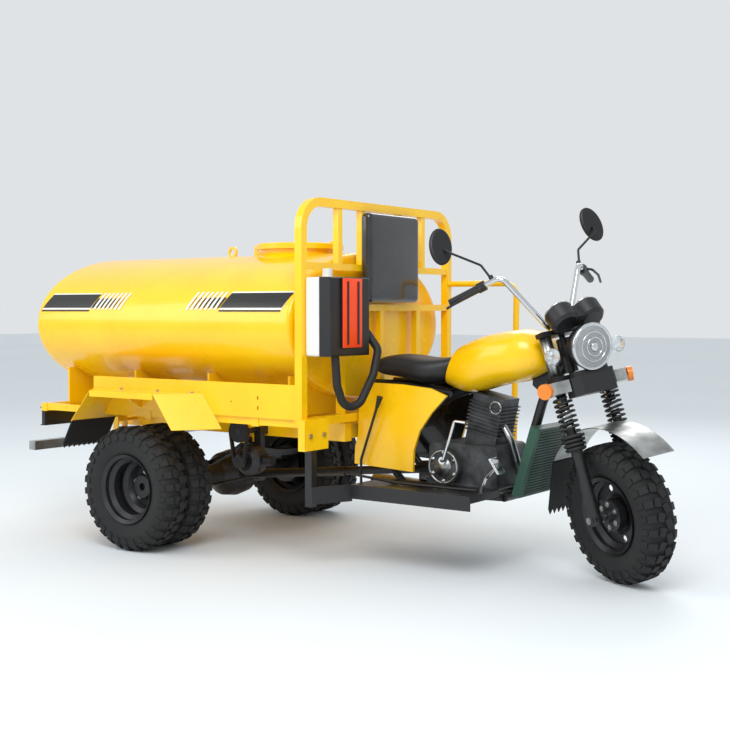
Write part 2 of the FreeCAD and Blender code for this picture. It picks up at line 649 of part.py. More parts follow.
def foot_brake():
    arm = tube([(880, -232, BOARD_Z), (905, -232, 420), (962, -250, 470)], 7, 24)
    pad = block(-38, 38, -30, 30, -6, 6)
    pad = pad.makeFillet(4, pad.Edges)
    pad.Placement = FreeCAD.Placement(V(966, -252, 476), Rotation(V(0, 1, 0), 55))
    return joined(arm, pad)


def kick_starter():
    lever = tube([(662, -172, 470), (662, -200, 470), (680, -212, 472), (742, -222, 648), (800, -226, 644)], 7, 12)
    return joined(lever, rod((662, -172, 470), (662, -196, 470), 16))


def hand_lever():
    stem = tube([(262, -236, 330), (262, -236, 450), (362, -248, 706)], 6, 60)
    knob = Part.makeCone(8, 14, 52, V(356, -247, 690), V(100, -12, 256))
    foot = block(240, 284, -262, -212, 306, 340)
    link = block(240, 284, -262, -CRADLE_Y + 4, 306, 318)
    return joined(stem, knob, foot, link)


def tail_light_board():
    back = block(-1508, -1485, -570, 570, 532, 626)
    lips = [block(-1520, -1508, -570, 570, z, z + 5) for z in (532, 621)]
    return joined(back, *lips)


def rear_bumper():
    bar = block(-1520, -1474, -643, 643, 413, 458)
    drops = [block(-1484, -1476, s * RAIL_Y - 20, s * RAIL_Y + 20, 440, 532) for s in (-1, 1)]
    return joined(bar, *drops)


# --- steering, built with the steering axis along local Z and the axle at (AXLE_AHEAD, 0, 0) ---
def steering_placement():
    ahead = V(math.cos(math.radians(RAKE)), 0, math.sin(math.radians(RAKE)))
    foot = V(FRONT_AXLE_X, 0, FRONT_AXLE_Z) - ahead * AXLE_AHEAD
    return FreeCAD.Placement(foot, Rotation(V(0, 1, 0), -RAKE))


def steer_point(x, y, z):
    """A point of the steering's own axes, straight ahead, in the vehicle's frame."""
    return tuple(steering_placement().multVec(V(x, y, z)))


def steered(shape):
    turn = FreeCAD.Placement(V(0, 0, 0), Rotation(V(0, 0, 1), STEER_TURN))
    return shape.transformed(steering_placement().multiply(turn).toMatrix(), True)


def fork_leg(y):
    x = AXLE_AHEAD
    lower = rod((x, y, -26), (x, y, SPRING_LOW - 8), FORK_LEG_R)
    lug = rod((x, y - 15, 0), (x, y + 15, 0), 24)
    stanchion = rod((x, y, SPRING_LOW - 20), (x, y, CROWN_LOW), FORK_TUBE_R)
    shroud = rod((x, y, SPRING_HIGH), (x, y, CROWN_HIGH), SHROUD_R)
    bore = rod((x, y - 40, 0), (x, y + 40, 0), 8)
    return joined(lower, lug, stanchion, shroud).cut(bore)


def fork_boots():
    profile = [(FORK_LEG_R, 0), (FORK_LEG_R + 16, 0), (FORK_LEG_R + 19, 50), (FORK_LEG_R + 27, 56),
               (FORK_LEG_R + 27, 66), (FORK_TUBE_R, 66), (FORK_TUBE_R, 56), (FORK_LEG_R, 55)]
    return apart(*[turned(profile, (AXLE_AHEAD, y, SPRING_LOW - 63), (0, 0, 1)) for y in (-FORK_Y, FORK_Y)])


def fork_springs():
    """Outer form of the two coil springs round the stanchions."""
    low, high = SPRING_LOW + 3.5, SPRING_HIGH - 0.5
    profile = [(31, 0), (41, 0), (41, high - low), (31, high - low)]
    return apart(*[turned(profile, (AXLE_AHEAD, y, low), (0, 0, 1)) for y in (-FORK_Y, FORK_Y)])


def fork_yokes():
    """Two yokes on the stem, and the brace below the mudguard."""
    outline = [(-26, -34), (-26, 34), (30, FORK_Y + 30), (80, FORK_Y + 30), (84, 0),
               (80, -FORK_Y - 30), (30, -FORK_Y - 30)]
    yokes = []
    for low, high in ((CROWN_LOW - 26, CROWN_LOW - 4), (CROWN_HIGH + 0.5, CROWN_HIGH + 20)):
        yokes.append(sheet_z(outline, low, high))
    stem = rod((0, 0, CROWN_LOW - 20), (0, 0, CROWN_HIGH + 30), 13)
    nut = rod((0, 0, CROWN_HIGH + 20), (0, 0, CROWN_HIGH + 32), 19)
    whole = joined(*yokes, stem, nut)
    for y in (-FORK_Y, FORK_Y):
        whole = whole.cut(rod((AXLE_AHEAD, y, 400), (AXLE_AHEAD, y, CROWN_HIGH), SHROUD_R))
    return whole


def front_axle():
    y = FORK_Y + 31
    bar = rod((AXLE_AHEAD, -y, 0), (AXLE_AHEAD, y, 0), 8)
    spacers = [rod((AXLE_AHEAD, s * 72, 0), (AXLE_AHEAD, s * 93.9, 0), 14) for s in (-1, 1)]
    nuts = [rod((AXLE_AHEAD, s * (FORK_Y + 25.2), 0), (AXLE_AHEAD, s * (FORK_Y + 37), 0), 15) for s in (-1, 1)]
    return joined(bar, *spacers, *nuts)


BAR_POINTS = [(-190, 366, 1028), (-20, 200, 1068), (-2, 52, 812), (-2, -52, 812), (-20, -200, 1068),
              (-190, -366, 1028)]


def handlebar():
    bar = tube(BAR_POINTS, 12.5, 42)
    clamps = [block(-18, 16, y - 12, y + 12, CROWN_HIGH + 20, 834) for y in (-38, 38)]
    return joined(bar, *clamps)


def along_grip(distance):
    """Point on the right grip's axis, measured inwards from the bar's end."""
    end, bend = V(*BAR_POINTS[-1]), V(*BAR_POINTS[-2])
    inward = (bend - end).normalize()
    return tuple(end + inward * distance)


def grips():
    pair = []
    for mirror in (False, True):
        sleeve = rod(along_grip(-6), along_grip(128), 17).cut(rod(along_grip(-1), along_grip(140), 12.6))
        pair.append(mirrored(sleeve) if mirror else sleeve)
    return apart(*pair)


def bar_controls():
    """Switch housings, lever perches and the two hand levers."""
    pair = []
    for mirror in (False, True):
        housing = rod(along_grip(130), along_grip(166), 22).cut(rod(along_grip(120), along_grip(180), 12.6))
        ahead = V(0.55, -0.45, -0.3).normalize()
        perch = V(*along_grip(148))
        pivot = perch + V(38, -18, -10)
        lever = tube([tuple(perch + V(12, -5, 0)), tuple(pivot), tuple(V(*along_grip(60)) + V(44, -26, -16)),
                      tuple(V(*along_grip(-18)) + V(30, -26, -22))], 5.5, 18)
        piece = joined(housing, lever)
        piece = piece.cut(rod(along_grip(-20), along_grip(240), 12.6))
        pair.append(mirrored(piece) if mirror else piece)
    return apart(*pair)


def mirror_right():
    stalk = tube([(-52, -226, 1068), (-64, -253, 1141), (-71, -373, 1212), (-96, -388, 1240)], 5, 18)
    clamp = rod((-52, -226, 1070), (-54, -229, 1088), 10)
    head = Part.makeCylinder(52, 22, V(0, 0, 0))
    head = head.makeFillet(9, head.Edges)
    stretch = FreeCAD.Matrix()
    stretch.scale(1, 1.55, 1)
    head = Part.Solid(head.transformGeometry(stretch))
    head.Placement = FreeCAD.Placement(V(-96, -394, 1256), Rotation(V(0, 1, 0), -90) * Rotation(V(0, 0, 1), 102))
    return joined(stalk, clamp, head)


LAMP_AXIS = (math.cos(math.radians(RAKE)), 0, -math.sin(math.radians(RAKE)))
LAMP_FACE = (186, 0, 678)


def headlamp_bowl():
    bowl = turned([(0, -12), (91, -12), (93, -26), (84, -56), (62, -92), (30, -108), (0, -110)],
                  LAMP_FACE, LAMP_AXIS)
    ears = [block(70, 120, s * 70 - 4, s * 70 + 4, 672, 712) for s in (-1, 1)]
    arms = [block(66, 80, min(s * 66, s * 100), max(s * 66, s * 100), 676, 706) for s in (-1, 1)]
    shrouds = [rod((AXLE_AHEAD, y, 400), (AXLE_AHEAD, y, 900), SHROUD_R) for y in (-FORK_Y, FORK_Y)]
    whole = joined(bowl, *ears, *arms)
    for tube_form in shrouds:
        whole = whole.cut(tube_form)
    return whole


def headlamp_lens():
    return turned([(0, -11.5), (95, -11.5), (95, 0), (86, 6), (60, 12), (0, 17)], LAMP_FACE, LAMP_AXIS)


def instrument_cluster():
    """Twin round gauges in one shell, faces towards the rider."""
    lean = V(-0.5, 0, 0.866)
    drums = []
    for y in (-66, 66):
        drums.append(turned([(0, 0), (48, 0), (60, 14), (63, 70), (58, 78), (0, 78)], (150, y, 790), tuple(lean)))
    bridge = block(-40, 34, -60, 60, 0, 60)
    bridge.Placement = FreeCAD.Placement(V(150, 0, 794), Rotation(V(0, 1, 0), -30))
    leg = block(58, 130, -20, 20, 776, 800)
    tie = block(58, 84, -20, 20, CROWN_HIGH + 10, 800)
    return joined(*drums, bridge, leg, tie.cut(block(0, 84.2, -30, 30, 0, CROWN_HIGH + 20.3)))


def aux_lamps():
    lamps = []
    for mirror in (False, True):
        lamp = turned([(0, -34), (18, -34), (31, -12), (34, -4), (34, 4), (26, 10), (0, 13)],
                      (136, -166, 674), LAMP_AXIS)
        arm = rod((AXLE_AHEAD, -FORK_Y - 12, 690), (112, -158, 682), 7)
        piece = joined(lamp, arm).cut(rod((AXLE_AHEAD, -FORK_Y, 400), (AXLE_AHEAD, -FORK_Y, 900), SHROUD_R))
        lamps.append(mirrored(piece) if mirror else piece)
    return apart(*lamps)


LIGHT_BAR = [(90, -112), (132, -108), (165, -80), (165, 80), (132, 108), (90, 112)]


def light_bar():
    """Faceted black box across the fork, with its bracket to the lower yoke."""
    box = sheet_z(LIGHT_BAR, 496, 574)
    chin = sheet_z([(100, -88), (128, -86), (152, -70), (152, 70), (128, 86), (100, 88)], 574, 596)
    bracket = block(84.3, 104, -50, 50, 560, 596)
    return joined(box, chin, bracket)


def light_bar_ends():
    """Pressed silver shells round the fork tubes, carrying the indicators."""
    ends = []
    for mirror in (False, True):
        outline = [(128, -114), (90, -113), (28, -96), (22, -150), (48, -206), (92, -216), (120, -178)]
        shell = sheet_z(outline, 522, 572)
        shell = shell.cut(rod((AXLE_AHEAD, -FORK_Y, 400), (AXLE_AHEAD, -FORK_Y, 900), SHROUD_R))
        ends.append(mirrored(shell) if mirror else shell)
    return apart(*ends)


def indicators():
    lamps = []
    for mirror in (False, True):
        lamp = rod((86, -205, 547), (96, -224, 545), 32)
        outline = [(128, -114), (90, -113), (28, -96), (22, -150), (48, -206), (92, -216), (120, -178)]
        lamp = lamp.cut(sheet_z(outline, 522, 572))
        lamp = max(lamp.Solids, key=lambda solid: solid.Volume)
        lamps.append(mirrored(lamp) if mirror else lamp)
    return apart(*lamps)


def front_fender():
    """Mudguard band over the front tyre, with stays to the fork legs."""
    def arc(grow):
        points = [(404 + grow, 187), (92, 362 + grow), (-206 - grow * 0.5, 268 + grow * 0.6)]
        return [V(x, -76, z) for x, z in points]
    outer, inner = arc(3), arc(0)
    loop = Part.Wire([Part.Arc(*outer).toShape(), Part.LineSegment(outer[2], inner[2]).toShape(),
                      Part.Arc(*inner[::-1]).toShape(), Part.LineSegment(inner[0], outer[0]).toShape()])
    band = Part.Face(loop).extrude(V(0, 152, 0))
    bracket = block(AXLE_AHEAD - 14, AXLE_AHEAD + 14, -FORK_Y, -70, 318, 342)
    bracket = bracket.fuse(block(AXLE_AHEAD - 14, AXLE_AHEAD + 14, -76, -70, 318, 366))
    whole = joined(band, bracket, mirrored(bracket))
    for y in (-FORK_Y, FORK_Y):
        whole = whole.cut(rod((AXLE_AHEAD, y, 200), (AXLE_AHEAD, y, 500), FORK_LEG_R + 27.5))
    return whole


def front_mud_flap():
    """Toothed rubber flap at the mudguard's rear end."""
    y0, y1 = -80, 80
    top, foot = V(-200, 0, 268), V(-334, 0, 78)
    teeth = 7
    step = (y1 - y0) / teeth
    fall = foot - top
    points = [top + V(0, y1, 0), top + V(0, y0, 0)]
    for i in range(teeth):
        points.append(top + fall + V(0, y0 + step * i, 0))
        points.append(top + fall * 1.12 + V(0, y0 + step * (i + 0.5), 0))
    points.append(top + fall + V(0, y1, 0))
    return Part.Face(Part.makePolygon(points + points[:1])).extrude(V(-4, 0, 2.8))


# --- assembly ---------------------------------------------------------------------------
def export(name, shape):
    solids = shape.Solids
    good = bool(solids) and all(s.isValid() and s.Volume > 0 for s in solids)
    shape.exportStep(f"parts/{name}.step")
    print(f"{name:22s} solids {len(solids):2d} ok {good} volume {shape.Volume / 1e6:8.2f} dm3")


def both_sides(name, shape):
    export(name + "_right", shape)
    export(name + "_left", mirrored(shape))


def main():
    os.makedirs("parts", exist_ok=True)
    tank = tank_form(0)
    export("tank_body", tank_body(tank))
    export("hatch_neck", hatch_neck(tank))
    export("hatch_lid", hatch_lid())
    export("lifting_eye", lifting_eye(tank))
    export("tank_saddles", tank_saddles(tank))
    export("rear_frame", rear_frame())
    both_sides("side_skirt", side_skirt())
    both_sides("rear_fender", rear_fender())
    export("rear_mud_flaps", apart(mud_flap(), mirrored(mud_flap())))
    export("leaf_springs", leaf_springs())
    export("rear_axle", rear_axle())
    export("front_frame", front_frame())
    export("headboard", headboard())
    export("guard_rail", guard_rail())
    both_sides("running_board", running_board())
    export("engine", engine())
    export("radiator", radiator())
    export("fuel_tank", fuel_tank())
    export("seat", seat())
    both_sides("side_cover", side_cover())
    export("backrest", backrest())
    export("expansion_tank", expansion_tank())
    export("air_cleaner", air_cleaner())
    export("air_hose", air_hoses())
    export("silencer", silencer())
    export("prop_shaft", prop_shaft())
    export("water_pump", water_pump())
    export("pump_belt", pump_belt())
    export("brake_rods", brake_rods())
    export("foot_controls", apart(foot_brake(), kick_starter()))
    export("hand_lever", hand_lever())
    export("tail_light_board", tail_light_board())
    export("rear_bumper", rear_bumper())
    tyres, rims = rear_wheels()
    both_sides("rear_tyres", tyres)
    both_sides("rear_rims", rims)
    front_tyre, front_rim = front_wheel()
    for name, shape in (("front_tyre", front_tyre), ("front_rim", front_rim),
                        ("front_axle", front_axle()), ("fork_yokes", fork_yokes()),
                        ("fork_legs", apart(fork_leg(-FORK_Y), fork_leg(FORK_Y))),
                        ("fork_springs", apart(fork_boots(), fork_springs())),
                        ("handlebar", handlebar()), ("bar_controls", apart(grips(), bar_controls())),
                        ("mirrors", apart(mirror_right(), mirrored(mirror_right()))),
                        ("headlamp_bowl", headlamp_bowl()),
                        ("headlamp_lens", headlamp_lens()), ("instrument_cluster", instrument_cluster()),
                        ("aux_lamps", aux_lamps()), ("light_bar", light_bar()),
                        ("light_bar_ends", light_bar_ends()), ("indicators", indicators()),
                        ("front_fender", front_fender()), ("front_mud_flap", front_mud_flap())):
        export(name, steered(shape))


main()
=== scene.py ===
# %% [markdown]
# # Water tanker tricycle
# A yellow cargo tricycle with an oval steel water tank. The metal frame comes ready made from
# the CAD model. This lesson gives each of its pieces a finish and adds what a workshop adds last:
# tyre blocks, coil springs, cooling fins, nuts, gauges, lamps and the upholstery.

# %% The frame
import json
import math

import bmesh
import bpy
from mathutils import Matrix, Vector


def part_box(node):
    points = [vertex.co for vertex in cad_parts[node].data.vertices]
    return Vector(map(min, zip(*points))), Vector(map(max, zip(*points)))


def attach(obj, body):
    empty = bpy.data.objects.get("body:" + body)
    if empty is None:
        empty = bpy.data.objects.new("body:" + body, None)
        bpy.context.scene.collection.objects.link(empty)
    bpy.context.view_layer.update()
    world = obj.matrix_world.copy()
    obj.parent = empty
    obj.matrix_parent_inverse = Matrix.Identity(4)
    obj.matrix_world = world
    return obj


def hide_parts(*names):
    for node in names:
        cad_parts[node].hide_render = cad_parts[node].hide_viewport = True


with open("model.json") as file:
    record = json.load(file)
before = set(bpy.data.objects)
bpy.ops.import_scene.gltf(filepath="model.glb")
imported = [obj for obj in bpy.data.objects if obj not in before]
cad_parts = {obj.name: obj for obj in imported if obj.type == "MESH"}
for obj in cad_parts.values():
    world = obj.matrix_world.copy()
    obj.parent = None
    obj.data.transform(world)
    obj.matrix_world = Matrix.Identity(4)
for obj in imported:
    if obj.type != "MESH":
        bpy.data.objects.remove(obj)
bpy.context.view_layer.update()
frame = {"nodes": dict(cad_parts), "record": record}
nodes = frame["nodes"]
joints = {joint["name"]: joint for joint in frame["record"]["behaviour"]["joints"]}
print("CAD pieces:", len(nodes), "joints:", sorted(joints))

# %% [markdown]
# ## Small tools
# Paint makers write colours as sRGB hex values, while Blender's shaders work in linear light, so
# one function turns one into the other. One more adds a node with its settings and links.

# %% Colour and node tools
MM = 0.001
# where one colour starts to give way to the other, and where it has
PATCH_EDGES = (0.35, 0.7)
RELIEF_MM = 0.4


def linear(hex_colour):
    channels = [int(hex_colour[i:i + 2], 16) / 255 for i in (1, 3, 5)]
    low = [c / 12.92 if c <= 0.04045 else ((c + 0.055) / 1.055) ** 2.4 for c in channels]
    return (*low, 1.0)


def add_node(material, kind, settings=None, **links):
    node = material.node_tree.nodes.new("ShaderNode" + kind)
    for name, value in (settings or {}).items():
        if hasattr(node, name):
            setattr(node, name, value)
        else:
            node.inputs[name].default_value = value
    for name, source in links.items():
        numbered = name[0] == "i" and name[1:].isdigit()
        socket = node.inputs[int(name[1:]) if numbered else name]
        material.node_tree.links.new(source, socket)
    return node


def finish_of(name, colour, second, grain_mm, rough, rough_spread=0.1, metallic=0.0, bump=0.1,
              coat=0.0, patch_mm=220.0):
    """A real surface: two close colours in soft patches, uneven gloss and a fine grain."""
    material = bpy.data.materials.new(name)
    material.use_nodes = True
    shader = material.node_tree.nodes["Principled BSDF"]
    where = add_node(material, "TexCoord").outputs["Object"]
    patches = add_node(material, "TexNoise", {"Scale": 1 / (patch_mm * MM), "Detail": 5.0}, Vector=where)
    blend = add_node(material, "ValToRGB", i0=patches.outputs["Fac"])
    for stop, place, hex_colour in zip(blend.color_ramp.elements, PATCH_EDGES, (colour, second)):
        stop.position, stop.color = place, linear(hex_colour)
    gloss = add_node(material, "MapRange",
                     {"To Min": rough - rough_spread / 2, "To Max": rough + rough_spread},
                     i0=patches.outputs["Fac"])
    grain = add_node(material, "TexNoise", {"Scale": 1 / (grain_mm * MM), "Detail": 3.0}, Vector=where)
    relief = add_node(material, "Bump", {"Strength": bump, "Distance": RELIEF_MM * MM},
                      Height=grain.outputs["Fac"])
    link = material.node_tree.links.new
    link(blend.outputs["Color"], shader.inputs["Base Color"])
    link(gloss.outputs["Result"], shader.inputs["Roughness"])
    link(relief.outputs["Normal"], shader.inputs["Normal"])
    shader.inputs["Metallic"].default_value = metallic
    shader.inputs["Coat Weight"].default_value = coat
    return material


# %% [markdown]
# ## Finishes
# Sprayed enamel is smooth and glossy with a faint orange-peel skin. Moulded rubber and ABS are
# dull with a fine grain. Chrome is a near mirror, and cast aluminium is grey and pebbled.

# %% The materials
yellow_enamel = finish_of("sprayed_yellow_enamel", "#FFC400", "#FFCD08", 6, 0.26, 0.06, bump=0.04, coat=0.35)
black_enamel = finish_of("brushed_on_black_enamel", "#121213", "#1B1B1C", 5, 0.38, 0.12, bump=0.12, coat=0.1)
tyre_rubber = finish_of("vulcanised_tyre_rubber", "#151516", "#222221", 2.5, 0.78, 0.1, bump=0.3)
moulded_rubber = finish_of("moulded_black_rubber", "#121212", "#1A1A1A", 3, 0.6, 0.1, bump=0.2)
rim_enamel = finish_of("dipped_black_rim_enamel", "#18181A", "#242426", 4, 0.36, 0.12, bump=0.1)
chrome_plate = finish_of("plated_chrome", "#DCDEE0", "#C9CCCF", 12, 0.07, 0.05, metallic=1.0, bump=0.02)
rolled_steel = finish_of("rolled_stainless_steel", "#B9BBB9", "#8C8D8B", 2, 0.28, 0.16, metallic=1.0,
                         bump=0.12, patch_mm=60)
cast_aluminium = finish_of("sand_cast_aluminium", "#3C3D3E", "#66686A", 2, 0.5, 0.15, metallic=0.8, bump=0.5,
                           patch_mm=70)
green_enamel = finish_of("sprayed_green_enamel", "#1F4A38", "#183B2E", 4, 0.4, 0.1, bump=0.1)
white_plastic = finish_of("blow_moulded_white_plastic", "#E9E9E4", "#DDDDD6", 3, 0.42, 0.1, bump=0.1)
black_abs = finish_of("moulded_black_abs", "#121214", "#1A1A1C", 1.6, 0.42, 0.1, bump=0.2)
orange_abs = finish_of("moulded_orange_abs", "#FF4A10", "#F4430C", 2, 0.35, 0.08, bump=0.08)
amber_lens = finish_of("moulded_amber_lens", "#EE8600", "#E27A00", 6, 0.15, 0.04, bump=0.15, coat=0.5)
red_lens = finish_of("moulded_red_lens", "#B01510", "#9A0E0B", 6, 0.18, 0.05, bump=0.15, coat=0.5)
vinyl = finish_of("embossed_black_vinyl", "#141415", "#1E1E20", 2.2, 0.46, 0.12, bump=0.55)
zinc_nut = finish_of("zinc_plated_steel", "#C8C9C6", "#A9ABA8", 2, 0.3, 0.12, metallic=1.0, bump=0.1)
print("finishes:", len(bpy.data.materials))

# %% [markdown]
# A lamp glass lets light through. Its index of refraction is that of pressed glass, and a little
# uneven roughness stands for the flutes that are pressed into it.

# %% Lamp glass
lamp_glass = bpy.data.materials.new("pressed_lamp_glass")
lamp_glass.use_nodes = True
glass_shader = lamp_glass.node_tree.nodes["Principled BSDF"]
glass_shader.inputs["Base Color"].default_value = linear("#F2F6F8")
glass_shader.inputs["Transmission Weight"].default_value = 0.75
glass_shader.inputs["IOR"].default_value = 1.5
flutes = add_node(lamp_glass, "TexNoise", {"Scale": 1 / (14 * MM)},
                  Vector=add_node(lamp_glass, "TexCoord").outputs["Object"])
flute_gloss = add_node(lamp_glass, "MapRange", {"To Min": 0.03, "To Max": 0.12}, i0=flutes.outputs["Fac"])
lamp_glass.node_tree.links.new(flute_gloss.outputs["Result"], glass_shader.inputs["Roughness"])


# %% [markdown]
# ## Side covers
# A cover is sprayed yellow on its outside. Its inside is painted near-black: painted shade for the
# shaded inside of the machine. The surface normal, along the machine's width, says which face is which.

# %% Covers sprayed outside, with painted shade inside


def paint_cover_with_inner_shade(name, outward):
    material = finish_of(name, "#FFC400", "#FFCD08", 6, 0.26, 0.06, bump=0.04, coat=0.35)
    shader = material.node_tree.nodes["Principled BSDF"]
    sprayed = shader.inputs["Base Color"].links[0].from_socket
    normal = add_node(material, "SeparateXYZ", i0=add_node(material, "TexCoord").outputs["Normal"])
    face = add_node(material, "MapRange", {"From Min": 0.2 * -outward, "From Max": -0.6 * outward},
                    i0=normal.outputs["Y"])
    sprayed_or_painted_shade = add_node(material, "Mix", {"data_type": "RGBA"}, i0=face.outputs["Result"], i6=sprayed)
    # near-black painted shade on the faces that point into the machine
    sprayed_or_painted_shade.inputs[7].default_value = linear("#161617")
    material.node_tree.links.new(sprayed_or_painted_shade.outputs[2], shader.inputs["Base Color"])
    return material


cover_paint_shaded_inside_right = paint_cover_with_inner_shade("sprayed_right_cover_painted_shade_inside", -1)
cover_paint_shaded_inside_left = paint_cover_with_inner_shade("sprayed_left_cover_painted_shade_inside", 1)
film_wrap = finish_of("vinyl_in_clear_film", "#17181A", "#24262A", 38, 0.16, 0.1,
                      bump=0.9, coat=0.6, patch_mm=90)

# %% [markdown]
# ## Dressing the CAD pieces
# Most ready-made pieces keep their shape and only take a finish. The tyres, the sleeves of the
# fork springs, the saddle and the backrest are drawn again further on.

# %% A finish for every CAD piece
FINISHES = {
    yellow_enamel: "tank_body headboard side_skirt_right side_skirt_left rear_fender_right rear_fender_left"
                   " fuel_tank hatch_lid hatch_neck lifting_eye"
                   " tank_saddles rear_frame guard_rail",
    cover_paint_shaded_inside_right: "side_cover_right",
    cover_paint_shaded_inside_left: "side_cover_left",
    black_enamel: "front_frame rear_axle leaf_springs prop_shaft fork_yokes brake_rods water_pump hand_lever"
                  " headlamp_bowl running_board_right running_board_left tail_light_board fork_legs",
    tyre_rubber: "front_tyre rear_tyres_right rear_tyres_left",
    moulded_rubber: "rear_mud_flaps front_mud_flap air_hose pump_belt fork_springs",
    rim_enamel: "front_rim rear_rims_right rear_rims_left",
    chrome_plate: "handlebar foot_controls",
    rolled_steel: "front_axle silencer front_fender light_bar_ends rear_bumper",
    cast_aluminium: "engine",
    green_enamel: "radiator",
    white_plastic: "expansion_tank",
    black_abs: "air_cleaner bar_controls instrument_cluster light_bar mirrors",
    lamp_glass: "headlamp_lens aux_lamps",
    amber_lens: "indicators",
    vinyl: "seat backrest",
}
for material, names in FINISHES.items():
    for name in names.split():
        mesh = nodes[name].data
        mesh.materials.clear()
        mesh.materials.append(material)


# %% [markdown]
# ## Tools for new pieces
# Each new piece is drawn with bmesh operators, then finished by one function that smooths it,
# gives it a material and says which moving body carries it.

# %% Mesh tools
def make_piece(name, bm, material, body, smooth=True):
    bmesh.ops.recalc_face_normals(bm, faces=bm.faces)
    mesh = bpy.data.meshes.new(name)
    bm.to_mesh(mesh)
    bm.free()
    for polygon in mesh.polygons:
        polygon.use_smooth = smooth
    mesh.materials.append(material)
    piece = bpy.data.objects.new(name, mesh)
    bpy.context.collection.objects.link(piece)
    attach(piece, body)
    return piece


def facing(place, direction, roll=0.0):
    """A place whose own Z points along a direction."""
    turn = Vector(direction).to_track_quat("Z", "Y").to_matrix().to_4x4()
    return Matrix.Translation(Vector(place)) @ turn @ Matrix.Rotation(roll, 4, "Z")


def add_disc(bm, radius, depth, place, sides=24, top=None):
    bmesh.ops.create_cone(bm, cap_ends=True, segments=sides, radius1=radius,
                          radius2=radius if top is None else top, depth=depth, matrix=place)


def add_box(bm, size, place):
    return bmesh.ops.create_cube(bm, size=1.0, matrix=place @ Matrix.Diagonal((*size, 1)))["verts"]


# %% [markdown]
# The steered pieces are placed in the fork's own axes: ahead, to the left, and up along the
# steering head. The axes come from the joints, so they follow the frame exactly.

# %% The fork's own axes
steer = joints["steering_turn"]
spin = joints["front_wheel_spin"]
steer_up = Vector(steer["axis"]).normalized()
steer_left = Vector(spin["axis"]).normalized()
steer_ahead = steer_left.cross(steer_up).normalized()
front_hub = Vector(spin["pos_m"])
steer_foot = Vector(steer["pos_m"])
fork_axes = Matrix((steer_ahead, steer_left, steer_up)).transposed().to_4x4()
fork_axes.translation = steer_foot


def on_fork(ahead, left, up):
    """A point on the fork, in millimetres along its own axes."""
    return fork_axes @ Vector((ahead * MM, left * MM, up * MM))


def fork_direction(ahead, left, up):
    return (fork_axes.to_3x3() @ Vector((ahead, left, up))).normalized()


print("steering head leans", round(math.degrees(math.acos(steer_up.z)), 1), "degrees")

# %% [markdown]
# ## Tyre blocks
# An off-road tyre has chunky blocks: a zigzag pair over the crown and a lug over each shoulder.
# One block is drawn once and repeated round the axle, so each has only a few faces.

# %% Tread on every tyre
TYRE_R = 0.290
CARCASS_R = 0.279
BEAD_R = 0.153
BLOCKS_ROUND = 30
CARCASS_STEPS = 96
# the crown's blocks are turned by this much, one way and the other, in radians
CROWN_TWIST = 0.3
# half of the tyre's section, as radius and distance from its middle
SECTION = ((BEAD_R, 0.050), (0.172, 0.060), (0.212, 0.070), (0.240, 0.0705), (0.262, 0.065),
           (0.273, 0.053), (CARCASS_R, 0.030), (CARCASS_R + 0.001, 0.0))


def square_to(axle):
    """The upward direction that is square to an axle."""
    level = Vector((0, 0, 1))
    return (level - axle * level.dot(axle)).normalized()


def tread(name, centre, axle, body, node):
    axle = Vector(axle).normalized()
    level = square_to(axle)
    centre = Vector(centre)
    bm = bmesh.new()
    outline = [bm.verts.new(centre + level * r + axle * y) for r, y in SECTION]
    outline += [bm.verts.new(centre + level * r - axle * y) for r, y in reversed(SECTION[:-1])]
    loop = [bm.edges.new((outline[i], outline[(i + 1) % len(outline)])) for i in range(len(outline))]
    bmesh.ops.spin(bm, geom=outline + loop, cent=centre, axis=axle, angle=math.tau,
                   steps=CARCASS_STEPS, use_merge=True)
    carcass_faces = len(bm.faces)
    # across the tread, height of the block's middle, its three sizes, and how far it leans over
    rows = ((-0.017, -0.007, (0.029, 0.036, 0.014), 0.0), (0.017, -0.007, (0.029, 0.036, 0.014), 0.0),
            (-0.051, -0.018, (0.036, 0.030, 0.018), -0.62), (0.051, -0.018, (0.036, 0.030, 0.018), 0.62),
            (-0.0685, -0.046, (0.030, 0.022, 0.010), -1.32), (0.0685, -0.046, (0.030, 0.022, 0.010), 1.32))
    for step in range(BLOCKS_ROUND):
        for row, (across, lift, size, lean) in enumerate(rows):
            angle = math.tau * (step + 0.5 * (row % 2)) / BLOCKS_ROUND
            out = Matrix.Rotation(angle, 3, axle) @ level
            place = Matrix.Translation(centre + axle * across + out * (TYRE_R + lift))
            turn = Matrix((axle, out.cross(axle), out)).transposed().to_4x4()
            twist = 0.0 if lean else CROWN_TWIST * (1 if row % 2 else -1)
            place = place @ turn @ Matrix.Rotation(lean, 4, "Y")
            add_box(bm, size, place @ Matrix.Rotation(twist, 4, "Z"))
    tyre = make_piece(name, bm, tyre_rubber, body, smooth=False)
    for polygon in tyre.data.polygons[:carcass_faces]:
        polygon.use_smooth = True
    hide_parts(node)


tread("front_tyre_treaded", front_hub, spin["axis"], "front_wheel", "front_tyre")
rear_x, rear_z = joints["rear_right_spin"]["pos_m"][0], joints["rear_right_spin"]["pos_m"][2]
OUTER_Y, INNER_Y = 0.675, 0.510
for side, body in ((-1, "rear_wheels_right"), (1, "rear_wheels_left")):
    hidden = body.replace("rear_wheels", "rear_tyres")
    for label, y in (("outer", OUTER_Y), ("inner", INNER_Y)):
        tread(f"{body}_{label}_tyre", (rear_x, side * y, rear_z), (0, 1, 0), body, hidden)
print("blocks a tyre:", BLOCKS_ROUND * 6)

# %% [markdown]
# ## Wheel nuts
# Five bright nuts on studs hold each rear wheel to its hub, and the front wheel has six.

# %% Nuts and caps
NUT_R = 0.012


